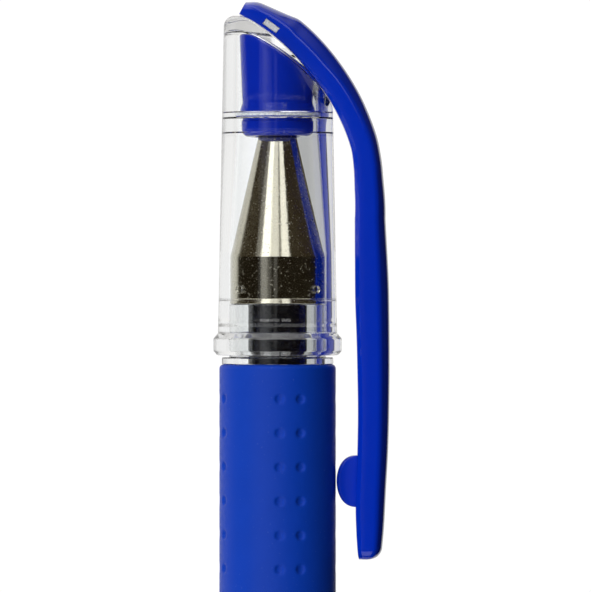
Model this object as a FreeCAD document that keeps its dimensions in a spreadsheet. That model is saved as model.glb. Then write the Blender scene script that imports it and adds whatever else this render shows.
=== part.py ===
import FreeCAD, Part

import math
import os

import Sketcher

# Gel pen standing on its tail: +Z runs from the tail to the cap, +X points to the clip,
# the origin is the middle of the tail's end face. Millimetres.

DOC = FreeCAD.newDocument("gel_pen")
SHEET = DOC.addObject("Spreadsheet::Sheet", "Sizes")
HERE = FreeCAD.Vector(0, 0, 0)

SIZES = [
    # barrel
    ("barrel_rear_z", 9.0, "rear end face of the barrel, on the tail plug's shoulder"),
    ("barrel_rear_rad", 5.0, "outer radius at the rear end"),
    ("barrel_step_rad", 5.4, "outer radius where the rear body meets the grip"),
    ("grip_rear_z", 74.8, "rear end of the grip seat"),
    ("grip_front_z", 114.76, "front end of the grip seat"),
    ("seat_rad", 4.65, "radius of the grip seat"),
    ("flange_rad", 5.31, "clear flange in front of the grip"),
    ("flange_front_z", 115.4, "front face of the flange"),
    ("neck_rad", 4.6, "neck the cap slides over"),
    ("neck_front_z", 120.95, "front shoulder of the neck"),
    ("neck_round", 0.3, "round on the front corner of the neck"),
    ("ridge_z", 118.7, "snap ridge"),
    ("ridge_rise", 0.06, "rise of the snap ridge"),
    ("ridge_half", 0.35, "half width of the snap ridge"),
    ("bore_rear_rad", 3.9, "barrel bore at the rear"),
    ("bore_front_rad", 3.76, "barrel bore under the neck"),
    ("bore_cone_z", 119.6, "start of the funnel in the bore"),
    ("bore_cone_end_z", 120.6, "end of the funnel in the bore"),
    ("spigot_bore_rad", 3.1, "bore of the spigot"),
    ("spigot_rad", 3.65, "spigot radius at the thread root"),
    ("thread_rise", 0.3, "height of the thread rings"),
    ("thread_pitch", 0.8, "spacing of the thread rings"),
    ("thread_half", 0.2, "half width of a thread ring"),
    ("thread_z", 121.8, "first thread ring"),
    ("spigot_front_z", 124.6, "front end of the spigot"),
    # grip
    ("grip_rad", 5.54, "outer radius of the rubber grip"),
    ("grip_bore_rad", 4.67, "bore of the rubber grip"),
    ("grip_round", 0.4, "round on the grip's end corners"),
    ("dimple_radius", 0.856, "radius of the ball that presses a dimple"),
    ("dimple_centre_rad", 6.196, "distance of that ball's middle from the axis"),
    ("dimple_top_z", 111.5, "uppermost row of dimples"),
    ("dimple_pitch", 3.216, "spacing of the rows of dimples"),
    ("dimple_rows", 11, "rows of dimples"),
    ("dimple_sides", 4, "pairs of dimple columns round the grip"),
    ("dimple_half_angle", 10.7, "angle from the middle of a pair to each column"),
    ("dimple_pair_angle", 12.8, "angle of one pair's middle from the clip side"),
    # tail plug
    ("plug_rad", 4.55, "visible part of the plug, the cap posts on it"),
    ("plug_round", 0.45, "round on the foot's corner"),
    ("plug_foot", 1.2, "thickness of the foot"),
    ("vent_rad", 0.5, "vent hole"),
    ("plug_spigot_rad", 3.86, "plug spigot pressed in the barrel"),
    ("plug_spigot_z", 16.5, "front end of the plug spigot"),
    ("plug_cup_rad", 2.9, "cup that centres the refill"),
    ("plug_cup_z", 14.3, "floor of that cup"),
    ("plug_core_rad", 2.0, "hollow of the plug"),
    # refill
    ("tube_rad", 2.8, "refill tube, outside"),
    ("tube_bore_rad", 2.15, "refill tube, inside"),
    ("tube_rear_z", 14.5, "rear end of the refill tube"),
    ("tube_front_z", 125.6, "front end of the refill tube"),
    ("fill_rad", 2.13, "radius of ink and follower"),
    ("follower_rear_z", 28.0, "rear of the grease follower"),
    ("ink_rear_z", 33.0, "rear of the ink"),
    ("ink_front_z", 121.5, "front of the ink"),
    ("holder_tail_z", 121.6, "rear of the tip holder's spigot"),
    ("holder_rad", 2.75, "shoulder of the tip holder"),
    ("holder_cone_z", 128.4, "start of the holder's taper"),
    ("holder_front_rad", 1.42, "front of the holder's taper"),
    ("holder_front_z", 134.0, "front end of the holder"),
    ("holder_feed_rad", 0.8, "ink channel in the holder"),
    ("point_rad", 1.15, "shank of the point"),
    ("point_socket_rad", 1.17, "hole for the point in the holder"),
    ("point_rear_z", 130.0, "rear end of the point"),
    ("point_cone_z", 139.1, "start of the point's cone"),
    ("point_lip_rad", 0.42, "outer radius at the lip round the ball"),
    ("point_lip_z", 141.12, "lip round the ball"),
    ("point_bore_rad", 0.45, "bore behind the ball seat"),
    ("ball_rad", 0.35, "rolling ball"),
    ("ball_z", 140.98, "middle of the ball"),
    ("ball_socket_rad", 0.37, "socket that holds the ball"),
    ("ball_lip_rad", 0.34, "inner radius of the lip"),
    ("ball_throat_rad", 0.2, "ink throat behind the ball"),
    ("spring_rad", 0.28, "hair spring, radius of the coil's middle line"),
    ("spring_wire_rad", 0.05, "hair spring, radius of the wire"),
    ("spring_rear_z", 136.2, "hair spring, rear end"),
    ("spring_rise", 3.6, "hair spring, length"),
    ("spring_pitch", 0.4, "hair spring, pitch"),
    # nose cone
    ("cone_rear_z", 120.98, "rear face of the nose cone"),
    ("cone_rad", 4.5, "radius of its straight part"),
    ("cone_edge_z", 124.95, "sharp edge where the taper starts"),
    ("cone_waist_rad", 1.84, "radius near the front of the taper"),
    ("cone_waist_z", 136.4, "height of that radius"),
    ("cone_front_rad", 1.35, "radius of the front end"),
    ("cone_front_z", 138.88, "front end"),
    ("cone_thread_rad", 4.0, "bore over the thread rings"),
    ("cone_bore_rad", 3.15, "bore in front of the thread"),
    ("cone_bore_z", 127.6, "start of the inner taper"),
    ("cone_neck_rad", 1.3, "narrow front bore"),
    ("cone_neck_z", 135.6, "rear end of the narrow bore"),
    # cap shell
    ("mouth_z", 115.6, "open end of the cap"),
    ("collar_rad", 6.12, "collar round the mouth"),
    ("collar_top_z", 117.7, "top of the collar"),
    ("collar_bevel", 0.4, "bevel under the collar"),
    ("collar_round", 0.45, "round on top of the collar"),
    ("shell_low_rad", 5.67, "outer radius above the collar"),
    ("shell_top_rad", 5.12, "outer radius at the top"),
    ("shell_corner_z", 146.9, "start of the round at the top"),
    ("shell_top_z", 147.9, "height of the roof's highest place"),
    ("shell_round", 1.0, "round at the top"),
    ("mouth_rad", 4.9, "lead-in of the mouth"),
    ("mouth_bevel_z", 116.0, "end of the lead-in"),
    ("cap_bore_rad", 4.7, "bore over the neck"),
    ("groove_rad", 4.82, "snap groove"),
    ("groove_half", 0.45, "half width of the snap groove"),
    ("cap_bore_end_z", 125.4, "start of the inner taper"),
    ("cap_waist_rad", 3.95, "inner radius under the inner cap"),
    ("cap_waist_z", 136.3, "height of that radius"),
    ("cap_seat_rad", 3.9, "bore round the inner cap"),
    ("bead_rad", 4.0, "bead on the inner cap"),
    ("bead_groove_rad", 4.1, "groove for the bead"),
    ("bead_z", 138.3, "middle of the bead"),
    ("bead_half", 0.35, "half width of the bead"),
    ("nub_ball_rad", 0.45, "ball that forms a nub"),
    ("nub_centre_rad", 5.02, "distance of the nub ball's middle from the axis"),
    ("nub_z", 121.8, "height of the nubs"),
    ("nub_angle", 40.0, "angle of the nubs from the clip's plane"),
    ("roof_centre_x", -13.93, "middle of the roof's arc, across"),
    ("roof_centre_z", 128.55, "middle of the roof's arc, up"),
    ("roof_radius", 22.0, "radius of the clip's underside"),
    ("roof_gap", 0.02, "moulding gap between clip and roof"),
    ("ceiling_centre_x", -12.31, "middle of the arc under the roof, across"),
    ("ceiling_centre_z", 128.11, "middle of the arc under the roof, up"),
    ("ceiling_radius", 20.67, "arc under the roof, so the roof thins towards the clip"),
    ("inner_gap", 0.06, "gap over the inner cap"),
    # latch between clip and roof
    ("latch_tilt", 35.7, "slope of the roof at the latch"),
    ("latch_length", 1.6, "latch post along the slope"),
    ("latch_width", 2.8, "latch post across the pen"),
    ("latch_rise", 1.15, "latch post above the roof"),
    ("latch_root", 0.4, "depth of the post's root in the roof"),
    ("hook_under", 0.55, "height of the hook's underside above the roof"),
    ("hook_width", 5.1, "hooks, end to end"),
    ("latch_clear", 0.05, "clearance round the latch"),
    # clip
    ("clip_width", 5.2, "width of the clip"),
    ("clip_crown", 0.85, "round of the clip's outer edges"),
    ("clip_bevel", 0.4, "bevel of the clip's inner edges"),
    ("clip_cut_z", 136.0, "plane where the springing arm starts"),
    ("clip_cut_gap", 0.02, "gap at that plane"),
    ("clip_cut_out_x", 9.55, "outer skin at that plane"),
    ("clip_cut_in_x", 6.74, "inner skin at that plane"),
    ("head_back_x", -3.64, "lower back corner of the head"),
    ("head_top_x", -2.94, "upper back corner of the head"),
    ("head_top_z", 149.25, "height of the head"),
    ("head_flat_x", -1.74, "end of the head's short flat"),
    ("head_flat_z", 149.15, "height of that end"),
    ("head_facet_x", 2.12, "end of the head's sloping facet"),
    ("head_facet_z", 147.52, "height of that end"),
    ("head_out_radius", 23.2, "arc of the outer skin"),
    ("arm_bend_x", 10.13, "outer skin under the bend"),
    ("arm_bend_z", 131.8, "height of that place"),
    ("arm_bend_radius", 30.0, "arc of the outer skin at the bend"),
    ("arm_mid_x", 10.62, "outer skin half way down"),
    ("arm_mid_z", 120.95, "upper end of the long outer arc"),
    ("arm_low_z", 108.9, "lower end of the long outer arc"),
    ("arm_long_radius", 255.0, "long outer arc"),
    ("arm_end_x", 9.95, "outer skin at the end"),
    ("arm_end_z", 97.3, "start of the end's round"),
    ("arm_tip_x", 8.8, "end of that round"),
    ("arm_tip_z", 96.17, "lowest place of the arm"),
    ("arm_tip_radius", 1.25, "round at the end"),
    ("arm_heel_x", 7.7, "inner corner of the end"),
    ("arm_heel_z", 96.3, "height of the inner corner"),
    ("arm_in_low_x", 7.42, "inner skin under the bump"),
    ("arm_in_low_z", 101.0, "height of that place"),
    ("arm_in_bump_x", 7.62, "inner skin above the bump"),
    ("arm_in_bump_z", 108.0, "height of that place"),
    ("arm_in_mid_x", 7.34, "inner skin half way down"),
    ("arm_in_mid_z", 122.0, "height of that place"),
    ("arm_in_top_z", 131.2, "start of the inner bend"),
    ("arm_in_radius", 20.4, "arc of the inner bend"),
    ("bump_width", 2.6, "width of the gripping bump"),
    ("bump_apex_x", 5.6, "place of the bump nearest to the grip"),
    ("bump_z", 103.6, "height of the bump's middle"),
    ("bump_half", 2.45, "half length of the bump"),
    ("bump_root_x", 7.9, "root of the bump inside the arm"),
    # inner cap
    ("inner_rad", 3.33, "inner cap, body at the bead"),
    ("inner_top_rad", 3.64, "inner cap, body at the top"),
    ("inner_flange_rad", 3.42, "inner cap, lower flange"),
    ("inner_low_z", 136.45, "inner cap, lower face"),
    ("inner_flange_z", 137.8, "inner cap, top of the flange"),
    ("inner_round", 0.7, "inner cap, round under the flange"),
    ("inner_top_z", 146.3, "inner cap, flat top at the back"),
    ("inner_mouth_rad", 2.1, "hole for the nose cone"),
    ("inner_hole_rad", 1.62, "hole round the cone's end"),
    ("inner_hole_z", 139.1, "step above the cone's end"),
    ("seal_rad", 1.3, "soft pad, radius"),
    ("seal_low_z", 141.37, "soft pad, lower face"),
    ("seal_top_z", 142.0, "soft pad, upper face"),
]


class Size:
    """A length that keeps its value and the spreadsheet expression it comes from."""

    def __init__(self, value, text):
        self.value = value
        self.text = text

    def __add__(self, other):
        other = as_size(other)
        return Size(self.value + other.value, "(%s + %s)" % (self.text, other.text))

    def __sub__(self, other):
        other = as_size(other)
        return Size(self.value - other.value, "(%s - %s)" % (self.text, other.text))

    def __mul__(self, other):
        other = as_size(other)
        return Size(self.value * other.value, "(%s * %s)" % (self.text, other.text))

    def __neg__(self):
        return Size(-self.value, "(0 - %s)" % self.text)


def as_size(number):
    return number if isinstance(number, Size) else Size(float(number), "%g" % number)


def cos_of(degrees):
    degrees = as_size(degrees)
    return Size(math.cos(math.radians(degrees.value)), "cos(%s * 1 deg)" % degrees.text)


def sin_of(degrees):
    degrees = as_size(degrees)
    return Size(math.sin(math.radians(degrees.value)), "sin(%s * 1 deg)" % degrees.text)


class Sizes:
    """The spreadsheet, read by name: size.neck_rad and so on."""

    def __init__(self, rows):
        for row, (alias, value, note) in enumerate(rows, start=1):
            SHEET.set("A%d" % row, note)
            SHEET.set("B%d" % row, "%g" % value)
            SHEET.setAlias("B%d" % row, alias)
            setattr(self, alias, Size(value, "Sizes.%s" % alias))
        DOC.recompute()


size = Sizes(SIZES)
NONE = as_size(0)


def bind(thing, name, length):
    thing.setExpression(name, as_size(length).text)


def origin_part(body, role):
    return [item for item in body.Origin.OriginFeatures if item.Role == role][0]


def new_body(name):
    body = DOC.addObject("PartDesign::Body", name)
    body.Label = name
    return body


def new_sketch(body, name, role="XZ_Plane"):
    sketch = body.newObject("Sketcher::SketchObject", name)
    sketch.AttachmentSupport = (origin_part(body, role), [""])
    sketch.MapMode = "FlatFace"
    DOC.recompute()
    return sketch


def arc_between(start, end, radius, side):
    """Arc from start to end; side +1 bulges to the left of the walk, -1 to the right."""
    middle = (start + end) * 0.5
    along = end - start
    half = along.Length / 2
    along.normalize()
    left = FreeCAD.Vector(-along.y, along.x, 0)
    drop = math.sqrt(radius * radius - half * half)
    centre = middle - left * (side * drop)
    top = centre + left * (side * radius)
    return Part.Arc(start, top, end)


def draw_outline(sketch, outline):
    """Closed outline. Each entry is (x, z) or (x, z, radius, side): the corner the edge
    starts from, and for an arc the edge's radius and the side it bulges to."""
    corners = [FreeCAD.Vector(as_size(e[0]).value, as_size(e[1]).value, 0) for e in outline]
    count = len(outline)
    arcs = {}
    for i, entry in enumerate(outline):
        start = corners[i]
        end = corners[(i + 1) % count]
        if len(entry) == 4:
            arcs[i] = as_size(entry[2])
            sketch.addGeometry(arc_between(start, end, arcs[i].value, entry[3]), False)
        else:
            sketch.addGeometry(Part.LineSegment(start, end), False)
    stored = [start_end_points(sketch, i, corners[i]) for i in range(count)]
    for i in range(count):
        following = (i + 1) % count
        sketch.addConstraint(
            Sketcher.Constraint("Coincident", i, stored[i][1], following, stored[following][0])
        )
    for i, entry in enumerate(outline):
        place_corner(sketch, i, stored[i][0], as_size(entry[0]), as_size(entry[1]))
    for i, radius in arcs.items():
        index = sketch.addConstraint(Sketcher.Constraint("Radius", i, radius.value))
        bind(sketch, "Constraints[%d]" % index, radius)


def start_end_points(sketch, i, corner):
    """Point numbers (1 or 2) of edge i's first and last corner, arcs may be stored reversed."""
    first = sketch.getPoint(i, 1)
    if first.distanceToPoint(corner) < 1e-6:
        return (1, 2)
    return (2, 1)


def place_corner(sketch, edge, point, x, z):
    if abs(x.value) < 1e-9:
        sketch.addConstraint(Sketcher.Constraint("PointOnObject", edge, point, -2))
    else:
        index = sketch.addConstraint(
            Sketcher.Constraint("DistanceX", -1, 1, edge, point, x.value)
        )
        bind(sketch, "Constraints[%d]" % index, x)
    if abs(z.value) < 1e-9:
        sketch.addConstraint(Sketcher.Constraint("PointOnObject", edge, point, -1))
    else:
        index = sketch.addConstraint(
            Sketcher.Constraint("DistanceY", -1, 1, edge, point, z.value)
        )
        bind(sketch, "Constraints[%d]" % index, z)


def turned(name, outline):
    """Body made by turning a half section round the pen's axis."""
    body = new_body(name)
    sketch = new_sketch(body, name + "_section")
    draw_outline(sketch, outline)
    DOC.recompute()
    turn = body.newObject("PartDesign::Revolution", name + "_turned")
    turn.Profile = sketch
    turn.ReferenceAxis = (sketch, ["V_Axis"])
    turn.Angle = 360.0
    body.Tip = turn
    DOC.recompute()
    return body


def slab(body, name, outline, width):
    """Pads a side outline to both sides of the clip's plane."""
    sketch = new_sketch(body, name + "_outline")
    draw_outline(sketch, outline)
    DOC.recompute()
    pad = body.newObject("PartDesign::Pad", name)
    pad.Profile = sketch
    pad.SideType = "Symmetric"
    bind(pad, "Length", width)
    body.Tip = pad
    DOC.recompute()
    return pad


def cut_side(body, name, outline):
    """Cuts a side outline right through the body."""
    sketch = new_sketch(body, name + "_outline")
    draw_outline(sketch, outline)
    DOC.recompute()
    before = body.Shape.Volume
    pocket = body.newObject("PartDesign::Pocket", name)
    pocket.Profile = sketch
    pocket.SideType = "Symmetric"
    pocket.Type = "Length"
    pocket.Length = 40.0
    body.Tip = pocket
    DOC.recompute()
    if not body.Shape.Volume < before - 0.01:
        raise RuntimeError("nothing was cut by " + name)
    return pocket


def edges_where(shape, keep):
    return ["Edge%d" % (n + 1) for n, edge in enumerate(shape.Edges) if keep(edge)]


def dress(body, kind, name, keep, length):
    """Fillet or chamfer on the body's edges that keep() picks."""
    base = body.Tip
    names = edges_where(base.Shape, keep)
    if not names:
        raise RuntimeError("no edges found for " + name)
    feature = body.newObject("PartDesign::" + kind, name)
    feature.Base = (base, names)
    bind(feature, "Radius" if kind == "Fillet" else "Size", length)
    body.Tip = feature
    DOC.recompute()
    if "Invalid" in feature.State:
        raise RuntimeError("%s failed on %d edges" % (name, len(names)))
    return feature


def middle_of(edge):
    first, last = edge.ParameterRange
    return edge.valueAt((first + last) / 2)


def circle_at(radius, z):
    """Picks whole circles of this radius at this height."""

    def keep(edge):
        box = edge.BoundBox
        flat = box.ZLength < 1e-4
        wide = abs(box.XLength - 2 * radius.value) < 1e-3
        return flat and wide and abs(box.ZMin - z.value) < 1e-4

    return keep


def on_arc(middle, radius, angle):
    """Point of an arc about a middle (x, z)."""
    x = middle[0] + radius * cos_of(angle)
    z = middle[1] + radius * sin_of(angle)
    return x, z


def on_roof(radius, angle):
    """Point of an arc about the roof's centre."""
    return on_arc((size.roof_centre_x, size.roof_centre_z), radius, angle)


def above_arc(middle, radius):
    """Everything above an arc, for trimming cap pieces."""
    low_x, low_z = on_arc(middle, radius, as_size(17))
    high_x, high_z = on_arc(middle, radius, as_size(78))
    return [
        (low_x, low_z, radius, -1),
        (high_x, high_z),
        (high_x, size.head_top_z + 4),
        (low_x + 6, size.head_top_z + 4),
        (low_x + 6, low_z),
    ]


# --------------------------------------------------------------------------- barrel side


def ridge(radius, rise, z, half):
    """Corners of a trapezoid ridge met while walking up a wall."""
    return [
        (radius, z - half),
        (radius + rise, z - half * 0.5),
        (radius + rise, z + half * 0.5),
        (radius, z + half),
    ]


def make_barrel():
    s = size
    threads = []
    for n in range(3):
        z = s.thread_z + s.thread_pitch * n
        threads += ridge(s.spigot_rad, s.thread_rise, z, s.thread_half)
    outline = [
        (s.bore_rear_rad, s.barrel_rear_z),
        (s.barrel_rear_rad, s.barrel_rear_z),
        (s.barrel_step_rad, s.grip_rear_z - 0.04),
        (s.seat_rad, s.grip_rear_z - 0.04),
        (s.seat_rad, s.grip_front_z),
        (s.flange_rad, s.grip_front_z),
        (s.flange_rad, s.flange_front_z),
        (s.neck_rad, s.flange_front_z),
    ]
    outline += ridge(s.neck_rad, s.ridge_rise, s.ridge_z, s.ridge_half)
    outline += [
        (s.neck_rad, s.neck_front_z),
        (s.spigot_rad, s.neck_front_z),
    ]
    outline += threads
    outline += [
        (s.spigot_rad, s.spigot_front_z),
        (s.spigot_bore_rad, s.spigot_front_z),
        (s.spigot_bore_rad, s.bore_cone_end_z),
        (s.bore_front_rad, s.bore_cone_z),
    ]
    body = turned("barrel", outline)
    dress(body, "Fillet", "neck_corner", circle_at(s.neck_rad, s.neck_front_z), s.neck_round)
    return body


def make_grip():
    s = size
    body = turned(
        "grip_sleeve",
        [
            (s.grip_bore_rad, s.grip_rear_z),
            (s.grip_rad, s.grip_rear_z),
            (s.grip_rad, s.grip_front_z - 0.02),
            (s.grip_bore_rad, s.grip_front_z - 0.02),
        ],
    )

    def end_corner(edge):
        return edge.BoundBox.ZLength < 1e-4 and edge.BoundBox.XLength > 2 * s.grip_rad.value - 0.01

    dress(body, "Fillet", "grip_corners", end_corner, s.grip_round)
    dimples = []
    for name, side in (("dimple_left", -1), ("dimple_right", 1)):
        ball = body.newObject("PartDesign::SubtractiveSphere", name)
        angle = s.dimple_pair_angle + s.dimple_half_angle * side
        bind(ball, "Radius", s.dimple_radius)
        bind(ball, "Placement.Base.x", s.dimple_centre_rad * cos_of(angle))
        bind(ball, "Placement.Base.y", s.dimple_centre_rad * sin_of(angle))
        bind(ball, "Placement.Base.z", s.dimple_top_z)
        DOC.recompute()
        dimples.append(ball)
    body.Tip = dimples[-1]
    many = body.newObject("PartDesign::MultiTransform", "dimple_field")
    many.Originals = dimples
    rows = body.newObject("PartDesign::LinearPattern", "dimple_rows")
    rows.Direction = (origin_part(body, "Z_Axis"), [""])
    rows.Reversed = True
    rows.Mode = "Extent"
    bind(rows, "Length", s.dimple_pitch * (s.dimple_rows - 1))
    bind(rows, "Occurrences", s.dimple_rows)
    sides = body.newObject("PartDesign::PolarPattern", "dimple_sides")
    sides.Axis = (origin_part(body, "Z_Axis"), [""])
    sides.Angle = 360.0
    bind(sides, "Occurrences", s.dimple_sides)
    many.Transformations = [rows, sides]
    body.Tip = many
    DOC.recompute()
    return body


def make_tail_plug():
    s = size
    body = turned(
        "tail_plug",
        [
            (s.vent_rad, NONE),
            (s.plug_rad, NONE),
            (s.plug_rad, s.barrel_rear_z - 0.02),
            (s.plug_spigot_rad, s.barrel_rear_z - 0.02),
            (s.plug_spigot_rad, s.plug_spigot_z),
            (s.plug_cup_rad, s.plug_spigot_z),
            (s.plug_cup_rad, s.plug_cup_z),
            (s.plug_core_rad, s.plug_cup_z),
            (s.plug_core_rad, s.plug_foot),
            (s.vent_rad, s.plug_foot),
        ],
    )
    dress(body, "Fillet", "foot_corner", circle_at(s.plug_rad, NONE), s.plug_round)
    return body


def make_refill():
    s = size
    turned(
        "refill_tube",
        [
            (s.tube_bore_rad, s.tube_rear_z),
            (s.tube_rad, s.tube_rear_z),
            (s.tube_rad, s.tube_front_z),
            (s.tube_bore_rad, s.tube_front_z),
        ],
    )
    turned(
        "ink",
        [
            (NONE, s.ink_rear_z),
            (s.fill_rad, s.ink_rear_z),
            (s.fill_rad, s.ink_front_z),
            (NONE, s.ink_front_z),
        ],
    )
    turned(
        "ink_follower",
        [
            (NONE, s.follower_rear_z),
            (s.fill_rad, s.follower_rear_z),
            (s.fill_rad, s.ink_rear_z - 0.02),
            (NONE, s.ink_rear_z - 0.02),
        ],
    )
    turned(
        "tip_holder",
        [
            (s.holder_feed_rad, s.holder_tail_z),
            (s.fill_rad, s.holder_tail_z),
            (s.fill_rad, s.tube_front_z + 0.02),
            (s.holder_rad, s.tube_front_z + 0.02),
            (s.holder_rad, s.holder_cone_z),
            (s.holder_front_rad, s.holder_front_z),
            (s.point_socket_rad, s.holder_front_z),
            (s.point_socket_rad, s.point_rear_z - 0.02),
            (s.holder_feed_rad, s.point_rear_z - 0.02),
        ],
    )


def make_point():
    s = size
    turned(
        "point",
        [
            (s.point_bore_rad, s.point_rear_z),
            (s.point_rad, s.point_rear_z),
            (s.point_rad, s.point_cone_z),
            (s.point_lip_rad, s.point_lip_z),
            (s.ball_lip_rad, s.point_lip_z),
            (s.ball_socket_rad, s.ball_z),
            (s.ball_socket_rad, s.ball_z - s.ball_rad * 0.95),
            (s.ball_throat_rad, s.ball_z - s.ball_rad * 1.08),
            (s.ball_throat_rad, s.ball_z - s.ball_rad * 2.6),
            (s.point_bore_rad, s.ball_z - s.ball_rad * 3),
        ],
    )
    ball = DOC.addObject("Part::Sphere", "ball")
    ball.Label = "ball"
    bind(ball, "Radius", s.ball_rad)
    bind(ball, "Placement.Base.z", s.ball_z)
    coil = DOC.addObject("Part::Helix", "spring_path")
    bind(coil, "Radius", s.spring_rad)
    bind(coil, "Pitch", s.spring_pitch)
    bind(coil, "Height", s.spring_rise)
    bind(coil, "Placement.Base.z", s.spring_rear_z)
    wire = DOC.addObject("Part::Circle", "spring_wire")
    bind(wire, "Radius", s.spring_wire_rad)
    wire.Placement = FreeCAD.Placement(HERE, FreeCAD.Rotation(FreeCAD.Vector(1, 0, 0), 90))
    bind(wire, "Placement.Base.x", s.spring_rad)
    bind(wire, "Placement.Base.z", s.spring_rear_z)
    DOC.recompute()
    spring = DOC.addObject("Part::Sweep", "ball_spring")
    spring.Label = "ball_spring"
    spring.Sections = [wire]
    spring.Spine = (coil, ["Edge%d" % (n + 1) for n in range(len(coil.Shape.Edges))])
    spring.Solid = True
    spring.Frenet = True
    DOC.recompute()


def make_nose_cone():
    s = size
    turned(
        "nose_cone",
        [
            (s.cone_thread_rad, s.cone_rear_z),
            (s.cone_rad, s.cone_rear_z),
            (s.cone_rad, s.cone_edge_z),
            (s.cone_waist_rad, s.cone_waist_z),
            (s.cone_front_rad, s.cone_front_z),
            (s.cone_neck_rad - 0.1, s.cone_front_z),
            (s.cone_neck_rad - 0.1, s.cone_neck_z),
            (s.cone_bore_rad, s.cone_bore_z),
            (s.cone_bore_rad, s.spigot_front_z + 0.3),
            (s.cone_thread_rad, s.spigot_front_z + 0.3),
        ],
    )


# ------------------------------------------------------------------------------ cap side


def make_shell_outside():
    s = size
    body = turned(
        "shell_outside",
        [
            (NONE, s.mouth_z),
            (s.collar_rad - s.collar_bevel, s.mouth_z),
            (s.collar_rad, s.mouth_z + s.collar_bevel),
            (s.collar_rad, s.collar_top_z - s.collar_round),
            (s.shell_low_rad, s.collar_top_z),
            (s.shell_top_rad, s.shell_corner_z, s.shell_round, -1),
            (s.shell_top_rad - s.shell_round, s.shell_top_z),
            (NONE, s.shell_top_z),
        ],
    )
    roof_middle = (s.roof_centre_x, s.roof_centre_z)
    cut_side(body, "roof_cut", above_arc(roof_middle, s.roof_radius - s.roof_gap))
    return body


def make_shell_hollow():
    s = size
    outline = [
        (NONE, s.mouth_z - 1),
        (s.mouth_rad, s.mouth_z - 1),
        (s.mouth_rad, s.mouth_z),
        (s.cap_bore_rad, s.mouth_bevel_z),
    ]
    outline += ridge(s.cap_bore_rad, s.groove_rad - s.cap_bore_rad, s.ridge_z, s.groove_half)
    outline += [
        (s.cap_bore_rad, s.cap_bore_end_z),
        (s.cap_waist_rad, s.cap_waist_z),
        (s.cap_seat_rad, s.cap_waist_z),
    ]
    outline += ridge(s.cap_seat_rad, s.bead_groove_rad - s.cap_seat_rad, s.bead_z, s.bead_half)
    outline += [
        (s.cap_seat_rad, s.inner_top_z + s.inner_gap),
        (NONE, s.inner_top_z + s.inner_gap),
    ]
    body = turned("shell_hollow", outline)
    ceiling_middle = (s.ceiling_centre_x, s.ceiling_centre_z)
    cut_side(body, "hollow_roof", above_arc(ceiling_middle, s.ceiling_radius + s.inner_gap))
    nub = body.newObject("PartDesign::SubtractiveSphere", "nub")
    bind(nub, "Radius", s.nub_ball_rad)
    bind(nub, "Placement.Base.x", s.nub_centre_rad * cos_of(s.nub_angle))
    bind(nub, "Placement.Base.y", s.nub_centre_rad * sin_of(s.nub_angle))
    bind(nub, "Placement.Base.z", s.nub_z)
    body.Tip = nub
    DOC.recompute()
    many = body.newObject("PartDesign::MultiTransform", "nubs")
    many.Originals = [nub]
    across = body.newObject("PartDesign::Mirrored", "nubs_across")
    across.MirrorPlane = (origin_part(body, "XZ_Plane"), [""])
    behind = body.newObject("PartDesign::Mirrored", "nubs_behind")
    behind.MirrorPlane = (origin_part(body, "YZ_Plane"), [""])
    many.Transformations = [across, behind]
    body.Tip = many
    DOC.recompute()
    return body


def roof_box(name, length, width, low, high):
    """Box on the roof's slope at the latch: length down the slope, width across."""
    s = size
    box = DOC.addObject("Part::Box", name)
    bind(box, "Length", length)
    bind(box, "Width", width)
    bind(box, "Height", high - low)
    tilt = s.latch_tilt
    reach = s.roof_radius + low
    centre_x = s.roof_centre_x + reach * sin_of(tilt)
    centre_z = s.roof_centre_z + reach * cos_of(tilt)
    box.Placement = FreeCAD.Placement(HERE, FreeCAD.Rotation(FreeCAD.Vector(0, 1, 0), 0))
    bind(box, "Placement.Rotation.Angle", tilt)
    box.Placement.Rotation.Axis = FreeCAD.Vector(0, 1, 0)
    bind(box, "Placement.Base.x", centre_x - length * 0.5 * cos_of(tilt))
    bind(box, "Placement.Base.y", width * -0.5)
    bind(box, "Placement.Base.z", centre_z + length * 0.5 * sin_of(tilt))
    return box


def make_cap_shell():
    s = size
    outside = make_shell_outside()
    hollow = make_shell_hollow()
    cup = DOC.addObject("Part::Cut", "shell_cup")
    cup.Base = outside
    cup.Tool = hollow
    post = roof_box("latch_post", s.latch_length, s.latch_width, -s.latch_root, s.latch_rise)
    hook = roof_box("latch_hook", s.latch_length, s.hook_width, s.hook_under, s.latch_rise)
    shell = DOC.addObject("Part::MultiFuse", "cap_shell")
    shell.Label = "cap_shell"
    shell.Shapes = [cup, post, hook]
    DOC.recompute()


def clip_edges(outer):
    """Side edges of the clip's outer skin (outer=True) or of its inner skin."""
    s = size

    def keep(edge):
        middle = middle_of(edge)
        if abs(abs(middle.y) - s.clip_width.value / 2) > 1e-4:
            return False
        first, last = edge.Vertexes[0].Point, edge.Vertexes[-1].Point
        on_cut = max(abs(first.z - s.clip_cut_z.value), abs(last.z - s.clip_cut_z.value)) < 0.05
        if on_cut:
            return False
        from_centre = math.hypot(
            middle.x - s.roof_centre_x.value, middle.z - s.roof_centre_z.value
        )
        if middle.z > s.clip_cut_z.value:
            return (from_centre > s.roof_radius.value + 0.9) == outer
        return middle.x > 8.6 if outer else middle.x < s.arm_heel_x.value - 0.05

    return keep


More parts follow.
